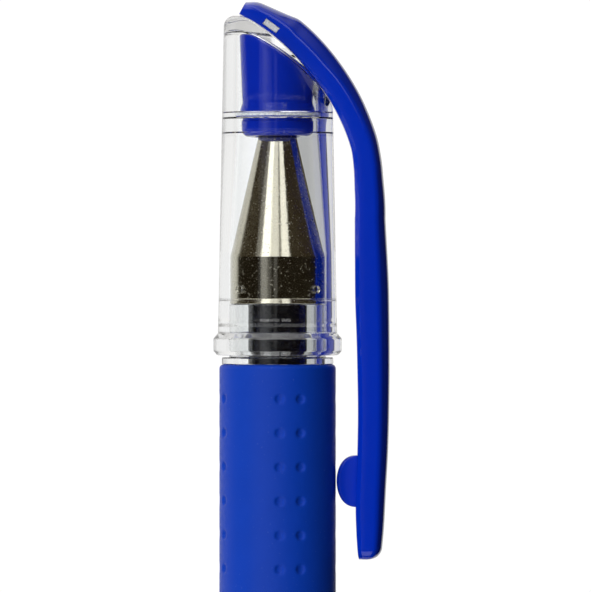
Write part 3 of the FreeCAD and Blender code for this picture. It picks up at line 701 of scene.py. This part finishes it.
def outer_roof(x):
    return soft_min(arc_height(x, ROOF_X, ROOF_Z, ROOF_RADIUS - 0.02), ROOF_HIGH, 0.5)


def outer_corner(x):
    """The round between wall and roof: large at the tall side, small at the clip's side."""
    return lerp(1.0, 0.22, smoothstep(-4.6, -2.0, x))


def ceiling(x, gap):
    """The arc under the roof, lifted by a gap: the shell's inside or the inner cap's top."""
    arc = arc_height(x, CEILING_X, CEILING_Z, CEILING_RADIUS + gap)
    return soft_min(arc, INNER_HIGH - INNER_GAP + gap, 0.4)


def close_skin(rings_down, rings_up):
    """One closed skin from two stacks of rings that both end near a middle point."""
    rings = rings_down + rings_up
    verts, faces = bridge(rings)
    size = len(rings[0])
    for ring_start, ring in ((0, rings[0]), ((len(rings) - 1) * size, rings[-1])):
        middle = len(verts)
        z = sum(p[2] for p in ring) / size
        verts.append((0.0, 0.0, z))
        for n in range(size):
            m = (n + 1) % size
            if ring_start == 0:
                faces.append((middle, ring_start + m, ring_start + n))
            else:
                faces.append((middle, ring_start + n, ring_start + m))
    return verts, faces


def make_cap_shell():
    """One skin: down the outside, round the collar, up the inside, across the ceiling."""
    outside = roofed_rings(shell_outer_radius, 118.0, 5.6, outer_roof, outer_corner)
    collar = rounded([
        (5.66, 118.6), (5.67, 117.7, 0.15), (6.114, 117.2, 0.35), (6.114, 116.0, 0.3),
        (5.75, 115.6, 0.25), (4.95, 115.6, 0.12), (4.7, 116.0, 0.3), (4.7, 118.1),
    ], 6, closed=False)[1:-1]
    inner = rounded([
        (4.7, 116.6), (4.7, 118.3, 0.5), (4.74, 118.6, 0.5), (4.74, 118.8, 0.5),
        (4.7, 119.1, 0.5), (4.7, 120.75, 0.1), (4.72, 120.8, 0.05), (4.72, 120.9, 0.05),
        (4.7, 120.95, 0.1),
        (4.7, 125.4, 4.0), (3.98, 136.65, 0.1), (3.9, 136.8, 0.1), (3.9, 138.05, 0.05),
        (4.1, 138.2, 0.04), (4.1, 138.62, 0.04), (3.9, 138.7, 0.05), (3.9, 138.9),
    ], 4, closed=False)[1:]
    roof_inside = roofed_rings(
        lambda z: 3.9, 139.0, 3.9, lambda x: ceiling(x, INNER_GAP), lambda x: 0.5,
        wall_steps=10, roof_steps=22
    )
    middle = [circle_ring(r, z) for r, z in braced(collar + inner, closed=False)]
    skin = close_skin(outside[::-1] + middle, roof_inside)
    return make_piece("cap_shell_moulding", skin, CLEAR, "cap",
                      stands_for=["cap_shell"])


NUB_ANGLES = (43.0, 137.0, 223.5, 317.5)


def make_nubs():
    """Four moulded dots on the inside of the cap's wall."""
    rim, height, base, level = 0.38, 0.3, 4.69, 121.83
    profile = rounded(
        [(0.0, -0.04), (rim, -0.04), (rim, 0.05), (rim * 0.86, height, 0.09), (0.0, height)],
        closed=False,
    )
    dot, faces = turned(profile, segments=40)
    for n, degrees in enumerate(NUB_ANGLES):
        a = math.radians(degrees)
        placed = [
            (
                (base - h) * math.cos(a) - x * math.sin(a),
                (base - h) * math.sin(a) + x * math.cos(a),
                level + y,
            )
            for x, y, h in dot
        ]
        make_piece("cap_nub_%d" % (n + 1), (placed, faces), CLEAR, "cap",
                   sharp=60)


def inner_cap_wall(z):
    """Radius of the inner cap's body, which has a little draft."""
    return lerp(3.33, 3.64, (z - 139.0) / 7.3)


def make_inner_cap():
    """Blue cap inside the shell: blind hole for the point, rim, flange, tapered body."""
    low = rounded([
        (2.1, 137.4), (2.1, 136.45, 0.12), (3.42, 136.45, 0.75), (3.42, 137.8, 0.15),
        (3.33, 137.9, 0.05), (3.33, 138.12, 0.05), (3.98, 138.2, 0.06), (3.98, 138.52, 0.06),
        (3.62, 138.72, 0.15), (3.34, 139.5, 1.2), (3.35, 139.9),
    ], 5, closed=False)[1:]
    top = roofed_rings(inner_cap_wall, 140.0, 3.37, lambda x: ceiling(x, 0.0), lambda x: 0.25,
                       wall_steps=10, roof_steps=22)
    hole = [(0.02, 142.02), (1.32, 142.02), (1.32, 139.1), (1.62, 139.1)]
    lower = [circle_ring(r, z) for r, z in braced(hole + low, closed=False)]
    skin = close_skin(lower, top)
    return make_piece("inner_cap_moulding", skin, BLUE_INNER, "cap",
                      stands_for=["inner_cap"])


def make_flange_highlight_ring():
    """Ring in the shell's groove at the inner cap's flange; its whitish colour is a painted
    highlight.
    """
    ring = rounded(
        [(3.985, 138.29), (4.09, 138.29, 0.03), (4.09, 138.58, 0.03), (3.985, 138.58)]
    )
    # The whitish plastic here paints the bright line at the flange: painted highlight.
    return make_piece("cap_ring_painted_highlight", turned(ring, closed_loop=True), FROST_AND_PAINTED_HIGHLIGHT, "cap")


# ---------------------------------------------------------------------------------- clip

# Outer and inner skin of the clip's upper part as (angle, distance) about the roof arc's
# middle, and of the arm as (height, x). The crown is the rounded strip along the outside.
HEAD_IN = [(0, 21.27), (7.1, 21.43), (13.5, 21.75), (18.2, 21.97), (24, 22.0), (70, 22.0)]
HEAD_OUT = [
    (0, 24.21), (7.7, 24.28), (13.4, 24.49), (19.2, 24.68), (23.7, 24.72), (28.6, 24.78),
    (36.6, 24.82), (45, 24.86), (49.6, 24.83), (52.3, 24.52), (54.3, 24.32), (57, 24.11),
    (59.4, 23.94), (62.05, 23.37),
]
HEAD_CROWN = [
    (0, 0.78), (6.5, 0.72), (13.7, 0.62), (21.3, 0.7), (27.8, 0.87), (33.3, 1.0),
    (39.7, 1.28), (47.8, 1.36), (50.6, 1.1), (53.3, 0.74), (56.2, 0.58), (62.05, 0.48),
]
ARM_IN = [
    (96.2, 7.66), (98.5, 7.5), (101.0, 7.42), (103.6, 7.5), (106.1, 7.58), (110.1, 7.64),
    (116.5, 7.53), (122.0, 7.36), (128.55, 7.34),
]
ARM_OUT = [
    (97.0, 9.93), (99.2, 10.13), (102.8, 10.32), (106.7, 10.53), (110.0, 10.62),
    (115.0, 10.67), (121.0, 10.62), (128.55, 10.28),
]
ARM_CROWN = [(96.2, 0.6), (106.7, 0.79), (109.4, 0.83), (120.9, 0.9), (128.55, 0.78)]
# Where the upper part ends, in degrees, and where the arm's rounded end begins, in height.
HEAD_END, ARM_END = 62.05, 97.4
# Half the clip's width, and the bevel of its inner edges, by height.
CLIP_HALF = [(96.2, 2.25), (108, 2.45), (125, 2.6), (150, 2.6)]
CLIP_BEVEL = [(96.2, 0.42), (136.0, 0.42), (141.5, 0.3), (144.5, 0.08), (150, 0.06)]


def clip_section(half, thick, crown, bevel):
    """Section of the clip as (across, outwards): flat inside, bevels, flat sides, crown."""
    arc_radius = (half ** 2 + crown ** 2) / (2 * crown)
    top = []
    half_steps = 9
    for k in range(-half_steps, half_steps + 1):
        y = half * k / half_steps
        top.append((y, thick - arc_radius + math.sqrt(arc_radius ** 2 - y ** 2)))
    right = [(half - bevel, 0.0, 0.1), (half, bevel, 0.1)]
    left = [(-half, bevel, 0.1), (-(half - bevel), 0.0, 0.1)]
    crest = 0.7
    first, last = (*top[-1], crest), (*top[0], crest)
    return rounded(right + [first] + top[-3:2:-1] + [last] + left, 6)


def section_ring(inner, outer, half, crown, bevel):
    """The section placed between an inner and an outer point, both (x, z)."""
    inner, outer = Vector(inner), Vector(outer)
    out = outer - inner
    thick = out.length
    out.normalize()
    ring = []
    for y, u in clip_section(half, thick, crown, bevel):
        place = inner + out * u
        ring.append((place.x, y, place.y))
    return ring


def polar(angle, distance):
    """Point (x, z) at an angle in degrees and a distance from the roof arc's middle."""
    a = math.radians(angle)
    return ROOF_X + distance * math.cos(a), ROOF_Z + distance * math.sin(a)


def clip_rings():
    return head_rings(84) + arm_rings(60) + end_rings(10)


def head_rings(steps):
    """From the clip's upper end, over the roof, to the level of the roof arc's middle."""
    rings = []
    for k in range(steps):
        angle = lerp(HEAD_END, 0.0, k / steps)
        inner = polar(angle, interpolate(HEAD_IN, angle))
        outer = polar(angle, interpolate(HEAD_OUT, angle))
        z = (inner[1] + outer[1]) / 2
        rings.append(section_ring(
            inner, outer, interpolate(CLIP_HALF, z), interpolate(HEAD_CROWN, angle),
            interpolate(CLIP_BEVEL, inner[1]),
        ))
    return rings


def arm_rings(steps):
    rings = []
    for k in range(steps):
        z = lerp(ROOF_Z, ARM_END, k / steps)
        rings.append(section_ring(
            (interpolate(ARM_IN, z), z), (interpolate(ARM_OUT, z), z),
            interpolate(CLIP_HALF, z), interpolate(ARM_CROWN, z), interpolate(CLIP_BEVEL, z),
        ))
    return rings


def end_rings(steps):
    """The arm's rounded end, drawn in mostly from the outside and the sides."""
    rings = []
    depth = 1.2
    for k in range(steps + 1):
        turn = math.pi / 2 * k / steps
        z = ARM_END - depth * math.sin(turn)
        inset = depth * (1 - math.cos(turn))
        outer_x = interpolate(ARM_OUT, ARM_END) - 0.05 * k / steps - inset * 0.95
        inner_x = interpolate(ARM_IN, ARM_END) + 0.12 * k / steps + inset * 0.06
        half = interpolate(CLIP_HALF, ARM_END) - inset * 0.8
        crown = max(0.2, 0.6 - inset * 0.3)
        rings.append(section_ring((inner_x, z), (outer_x, z), half, crown, 0.35))
    return rings


def bump_skin():
    """The round fin under the arm that presses on the grip."""
    rings = []
    apex, root, middle = 5.6, 8.2, 103.63
    tall, half, steps = 2.45, 1.15, 32
    for k in range(steps + 1):
        angle = math.pi * k / steps
        z = middle + tall * math.cos(angle)
        reach = (7.45 - apex) * math.sin(angle) ** 0.85
        x = 7.46 - reach
        rim = min(0.32, reach * 0.5 + 0.02)
        outline = rounded(
            [(root - x, -half), (0.0, -half, rim), (0.0, half, rim), (root - x, half)], 4
        )
        rings.append([(x + u, y, z) for u, y in outline])
    return bridge(rings, cap_first=True, cap_last=True)


def box_skin(centre_angle, low, high, length, width):
    """Block on the roof's slope: between two distances from the arc's middle."""
    a = math.radians(centre_angle)
    out = Vector((math.cos(a), math.sin(a)))
    along = Vector((math.sin(a), -math.cos(a)))
    middle = Vector((ROOF_X, ROOF_Z))
    verts = []
    for u in (low, high):
        for t, y in ((-1, -1), (1, -1), (1, 1), (-1, 1)):
            place = middle + out * u + along * (t * length / 2)
            verts.append((place.x, y * width / 2, place.y))
    faces = [(0, 3, 2, 1), (4, 5, 6, 7), (0, 1, 5, 4), (1, 2, 6, 5), (2, 3, 7, 6), (3, 0, 4, 7)]
    return verts, faces


CLIP_SHARP = 28


def combine(piece, skin, operation):
    """Cuts a closed skin out of a piece, or welds it on, and applies the result."""
    tool = new_object("tool", skin)
    tidy_normals(tool.data, CLIP_SHARP)
    step = piece.modifiers.new("combine", "BOOLEAN")
    step.operation = operation
    step.solver = "EXACT"
    step.object = tool
    bpy.context.view_layer.update()
    done = bpy.data.meshes.new_from_object(
        piece.evaluated_get(bpy.context.evaluated_depsgraph_get())
    )
    piece.modifiers.clear()
    piece.data = done
    bpy.data.objects.remove(tool)


# The latch lies at an angle on the roof; its window in the clip ends at a distance.
LATCH_ANGLE, WINDOW_TOP, WINDOW_LENGTH = 53.9, 22.94, 1.62


def make_clip():
    """Head and arm as one moulding, which bends between the cap and the sprung arm."""
    clip = new_object("clip_moulding", bridge(clip_rings(), cap_first=True, cap_last=True))
    clip.data.materials.append(BLUE)
    tidy_normals(clip.data, CLIP_SHARP)
    combine(clip, bump_skin(), "UNION")
    for low, width in ((22.3, 7.0), (21.0, 2.9)):
        window = box_skin(LATCH_ANGLE, low, WINDOW_TOP, WINDOW_LENGTH, width)
        combine(clip, window, "DIFFERENCE")
    tidy_normals(clip.data, CLIP_SHARP)
    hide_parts("clip_head", "clip_arm")
    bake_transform(clip)
    return clip


def make_latch():
    """The shell's lug that rises into the clip's root and shows in its side windows."""
    off_middle = 1.98
    post = box_skin(LATCH_ANGLE, ROOF_RADIUS - 0.01, 22.9, 1.5, 2.8)
    make_piece("latch_post", post, CLEAR, "cap")
    for name, side in (("latch_hook_front", -1), ("latch_hook_back", 1)):
        verts, faces = box_skin(LATCH_ANGLE, 22.33, 22.92, 1.56, 1.1)
        moved = [(x, y + side * off_middle, z) for x, y, z in verts]
        piece = make_piece(name, (moved, faces), FROST_AND_PAINTED_HIGHLIGHT, "cap")
        soften = piece.modifiers.new("soften", "BEVEL")
        soften.width = 0.05 * MM
        soften.segments = 2


# --------------------------------------------------------------------- stage and lighting


def make_floor():
    """Pale floor, hidden from soft and mirrored rays so it adds no bounce light."""
    mesh = bpy.data.meshes.new("floor")
    work = bmesh.new()
    bmesh.ops.create_circle(work, cap_ends=True, radius=1.3, segments=96)
    work.to_mesh(mesh)
    work.free()
    floor = bpy.data.objects.new("floor", mesh)
    bpy.context.collection.objects.link(floor)
    mesh.materials.append(floor_paint())
    floor.visible_diffuse = False
    floor.visible_glossy = False
    return floor


class Sky:
    """World shader built from a ray's direction, fixed to the world and not to the camera."""

    def __init__(self):
        world = bpy.data.worlds.new("studio")
        bpy.context.scene.world = world
        world.use_nodes = True
        world.cycles.sampling_method = "NONE"
        self.tree = world.node_tree
        self.tree.nodes.clear()
        place = self.tree.nodes.new("ShaderNodeTexCoord")
        split = self.tree.nodes.new("ShaderNodeSeparateXYZ")
        self.tree.links.new(place.outputs["Generated"], split.inputs[0])
        self.x, self.y, self.z = split.outputs
        front = self.math("MULTIPLY", self.y, -1.0)
        self.azimuth = self.math("MULTIPLY", self.math("ARCTAN2", self.x, front), 180 / math.pi)
        self.elevation = self.math("MULTIPLY", self.math("ARCSINE", self.z), 180 / math.pi)

    def math(self, operation, *values):
        node = self.tree.nodes.new("ShaderNodeMath")
        node.operation = operation
        for socket, value in zip(node.inputs, values):
            if isinstance(value, (int, float)):
                socket.default_value = value
            else:
                self.tree.links.new(value, socket)
        return node.outputs[0]

    def rise(self, value, low, high):
        """0 below low, 1 above high, smooth between; low may be above high for a fall."""
        node = self.tree.nodes.new("ShaderNodeMapRange")
        node.interpolation_type = "SMOOTHSTEP"
        flip = low > high
        node.inputs["From Min"].default_value = high if flip else low
        node.inputs["From Max"].default_value = low if flip else high
        node.inputs["To Min"].default_value = 1.0 if flip else 0.0
        node.inputs["To Max"].default_value = 0.0 if flip else 1.0
        self.tree.links.new(value, node.inputs["Value"])
        return node.outputs[0]

    def window(self, value, low, high, edge):
        """1 between low and high, 0 outside, with soft edges of the stated width."""
        inside = self.rise(value, low - edge / 2, low + edge / 2)
        return self.math("MULTIPLY", inside, self.rise(value, high + edge / 2, high - edge / 2))

    def add(self, *values):
        total = values[0]
        for value in values[1:]:
            total = self.math("ADD", total, value)
        return total

    def times(self, *values):
        total = values[0]
        for value in values[1:]:
            total = self.math("MULTIPLY", total, value)
        return total

    def choose(self, factor, first, second):
        node = self.tree.nodes.new("ShaderNodeMix")
        node.data_type = "FLOAT"
        self.tree.links.new(factor, node.inputs["Factor"])
        for socket, value in ((node.inputs["A"], first), (node.inputs["B"], second)):
            if isinstance(value, (int, float)):
                socket.default_value = value
            else:
                self.tree.links.new(value, socket)
        return node.outputs["Result"]

    def finish(self, white, warm):
        """Joins a white part and a brownish part of the light into the world's output."""
        both = self.tree.nodes.new("ShaderNodeAddShader")
        parts = ((white, (1.0, 1.0, 1.0, 1)), (warm, (1.0, 0.74, 0.42, 1)))
        for socket, (strength, colour) in zip(both.inputs, parts):
            background = self.tree.nodes.new("ShaderNodeBackground")
            background.inputs["Color"].default_value = colour
            self.tree.links.new(strength, background.inputs["Strength"])
            self.tree.links.new(background.outputs[0], socket)
        output = self.tree.nodes.new("ShaderNodeOutputWorld")
        self.tree.links.new(both.outputs[0], output.inputs[0])


def light_studio():
    """The studio as a world shader, with no lamps.

    Mirrored, see-through, soft and camera rays each get surroundings of their own, so this
    is a lighting set-up and not one real room. Angles are in degrees; azimuth 0 is -Y.
    """
    sky = Sky()
    paths = sky.tree.nodes.new("ShaderNodeLightPath").outputs

    # What polished and clear surfaces mirror.
    left = sky.rise(sky.azimuth, -98, -110)
    right = sky.times(sky.rise(sky.azimuth, 150, 154), 0.9)
    backdrop = sky.times(sky.add(left, right), 0.85)
    panels = sky.add(
        sky.times(sky.window(sky.azimuth, -54, -40, 5), 0.3),
        sky.times(sky.window(sky.azimuth, -40, -18, 3), 2.4),
        sky.times(sky.window(sky.azimuth, -18, 4.5, 1.5), 1.25),
        sky.times(sky.window(sky.azimuth, 9.5, 30, 2), 1.7),
    )
    box = sky.times(sky.window(sky.elevation, 14, 82, 6), panels)
    high = sky.times(sky.rise(sky.elevation, 35, 70), 1.1)
    level = sky.window(sky.elevation, -30, 14, 6)
    strip = sky.times(level, sky.add(
        sky.times(sky.window(sky.azimuth, -39, -23, 3), 0.36),
        sky.times(sky.window(sky.azimuth, -23, -14, 3), 0.12),
        sky.times(sky.window(sky.azimuth, -8, -1, 3), 0.12),
    ))
    low = sky.times(
        sky.window(sky.elevation, -75, -35, 8), sky.window(sky.azimuth, -50, 20, 8), 1.5
    )
    mirrored = sky.add(backdrop, box, high, strip, low)
    room = sky.add(0.007, sky.times(sky.rise(sky.elevation, -8, 16), 0.036))

    # What shows through clear pieces.
    side = sky.times(sky.window(sky.azimuth, 20, 150, 4), 0.93)
    behind = sky.times(sky.window(sky.azimuth, 150, 177, 3), 0.5)
    far_left = sky.times(sky.rise(sky.azimuth, -90, -170), 0.12)
    seen = sky.math("SUBTRACT", sky.add(1.0, far_left), sky.add(side, behind))

    # What lights matt surfaces.
    lit = sky.add(
        sky.times(sky.rise(sky.azimuth, -86, -100), 0.75),
        sky.times(sky.window(sky.azimuth, -93, -50, 10), 0.37),
        sky.times(sky.window(sky.azimuth, -50, -20, 10), 1.9),
        sky.times(sky.window(sky.azimuth, -20, 10, 10), 1.15),
        sky.times(sky.rise(sky.elevation, 35, 60), 0.4),
        0.02,
    )

    # A ray that was mirrored before it left a clear piece sees the mirrored surroundings.
    unmirrored = sky.math("LESS_THAN", paths["Glossy Depth"], 0.5)
    through = sky.times(paths["Is Transmission Ray"], unmirrored)
    light = sky.choose(through, mirrored, seen)
    light = sky.choose(paths["Is Diffuse Ray"], light, lit)
    backdrop_white = 1.02
    light = sky.choose(paths["Is Camera Ray"], light, backdrop_white)
    plain = sky.math("SUBTRACT", 1.0, through)
    warm = sky.times(room, plain)
    sky.finish(light, warm)


def make_camera():
    """Level with the cap, square to the clip's plane; the frame is 56.2 mm wide."""
    data = bpy.data.cameras.new("camera")
    camera = bpy.data.objects.new("camera", data)
    bpy.context.collection.objects.link(camera)
    distance = 0.6
    width = 56.24 * MM
    frame_aspect = 592 / 591
    data.sensor_width = 36.0
    data.lens = 36.0 * distance / (width * frame_aspect)
    target = Vector((1.705 * MM, 0.0, 121.23 * MM))
    camera.location = target + Vector((0.0, -distance, 0.0))
    camera.rotation_euler = (math.radians(90), 0, 0)
    data.clip_start = 0.05
    data.clip_end = 20.0
    bpy.context.scene.camera = camera


def finish_cad_nodes():
    """Materials for the CAD nodes that stay."""
    looks = {
        "tip_holder": NATURAL, "ball": CARBIDE, "ball_spring": STEEL, "tip_seal": PAD,
    }
    for node, material in looks.items():
        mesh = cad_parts[node].data
        mesh.materials.clear()
        mesh.materials.append(material)


make_barrel()
make_grip()
make_tail_plug()
make_refill()
make_nose_cone()
make_point()
make_cap_shell()
make_nubs()
make_inner_cap()
make_flange_highlight_ring()
make_clip()
make_latch()
finish_cad_nodes()
make_floor()
light_studio()
make_camera()

scene = bpy.context.scene
scene.view_settings.view_transform = "Standard"
scene.view_settings.look = "None"
scene.cycles.max_bounces = 28
scene.cycles.transmission_bounces = 24
scene.cycles.transparent_max_bounces = 24
scene.cycles.glossy_bounces = 8
